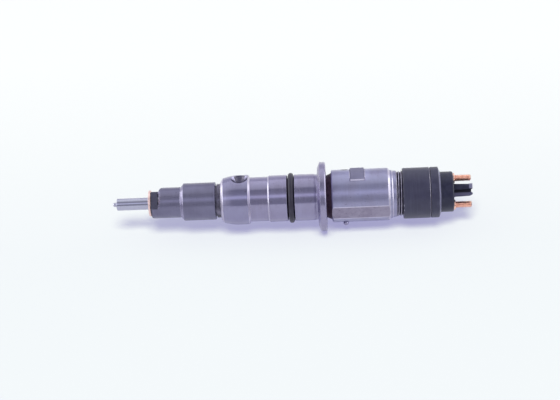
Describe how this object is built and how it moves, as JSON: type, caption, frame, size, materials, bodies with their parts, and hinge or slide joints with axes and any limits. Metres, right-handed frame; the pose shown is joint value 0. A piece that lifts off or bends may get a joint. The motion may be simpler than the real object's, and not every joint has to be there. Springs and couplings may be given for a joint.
{
  "type": "common-rail fuel injector",
  "caption": "Solenoid common-rail diesel fuel injector with a side conical inlet, clamp flange, copper seat washer, black solenoid sleeve and two threaded terminal studs",
  "frame": {"origin": "on the centreline, in the plane of the clamp flange's face towards the terminals", "axes": "+X along the centreline from the nozzle to the terminals, +Z out of the high-pressure inlet, +Y completes a right-handed frame"},
  "size_m": [0.2075, 0.04, 0.04],
  "materials": {
    "steel": "turned and lightly phosphated steel with a bluish grey cast and fine turning lines",
    "nozzle_steel": "ground steel, brighter than the body",
    "hard_steel": "hardened and lapped steel",
    "spring_steel": "drawn spring wire, oiled",
    "core_iron": "pressed soft iron, dull",
    "black_steel": "black oxide on turned steel, satin",
    "washer_copper": "soft copper, pale and matt",
    "terminal_copper": "copper plating on steel, satin",
    "rubber": "black fluoroelastomer, slightly oily",
    "black_plastic": "moulded glass-filled nylon, satin black",
    "seal_plastic": "off-white filled fluoropolymer",
    "coil_resin": "resin-dipped winding"
  },
  "bodies": {
    "housing": {"nozzle_body": "nozzle_steel", "nozzle_nut": "steel", "copper_washer": "washer_copper", "nozzle_dowel_left": "hard_steel", "nozzle_dowel_right": "hard_steel", "nozzle_spring": "spring_steel", "spring_shim": "hard_steel", "injector_body": "steel", "orientation_key": "steel", "return_plug_ball": "hard_steel", "body_o_ring": "rubber", "valve_body": "hard_steel", "valve_seal_ring": "seal_plastic", "armature_guide": "hard_steel", "valve_clamp_nut": "steel", "armature_spring": "spring_steel", "lift_ring": "hard_steel", "solenoid_core": "core_iron", "solenoid_coil": "coil_resin", "solenoid_spring": "spring_steel", "spring_set_disc": "hard_steel", "solenoid_o_ring": "rubber", "solenoid_nut": "black_steel", "connector_cap": "black_plastic", "coil_lead_upper": "terminal_copper", "coil_lead_lower": "terminal_copper", "terminal_stud_upper": "terminal_copper", "terminal_stud_lower": "terminal_copper"},
    "needle": {"nozzle_needle": "hard_steel", "spring_seat": "hard_steel"},
    "piston": {"control_piston": "hard_steel"},
    "armature": {"armature_plate": "core_iron", "armature_bolt": "hard_steel", "armature_clip": "spring_steel"},
    "valve_ball": {"valve_ball": "hard_steel", "ball_holder": "hard_steel"}
  },
  "joints": [
    {"name": "needle_lift", "type": "slide", "parent": "housing", "child": "needle", "axis": [1, 0, 0], "range_m": [0, 0.00025], "stiffness_N_per_m": 300, "springref_m": -0.001, "deforming": ["nozzle_spring"]},
    {"name": "piston_lift", "type": "slide", "parent": "housing", "child": "piston", "axis": [1, 0, 0], "range_m": [0, 0.00025]},
    {"name": "armature_lift", "type": "slide", "parent": "housing", "child": "armature", "axis": [1, 0, 0], "range_m": [0, 0.00006], "stiffness_N_per_m": 300, "springref_m": -0.001, "deforming": ["solenoid_spring", "armature_spring"]},
    {"name": "ball_lift", "type": "slide", "parent": "housing", "child": "valve_ball", "axis": [1, 0, 0], "range_m": [0, 0.00006]}
  ],
  "couplings": [
    {"joint": "piston_lift", "follows": "needle_lift", "ratio": 1},
    {"joint": "ball_lift", "follows": "armature_lift", "ratio": 1}
  ]
}
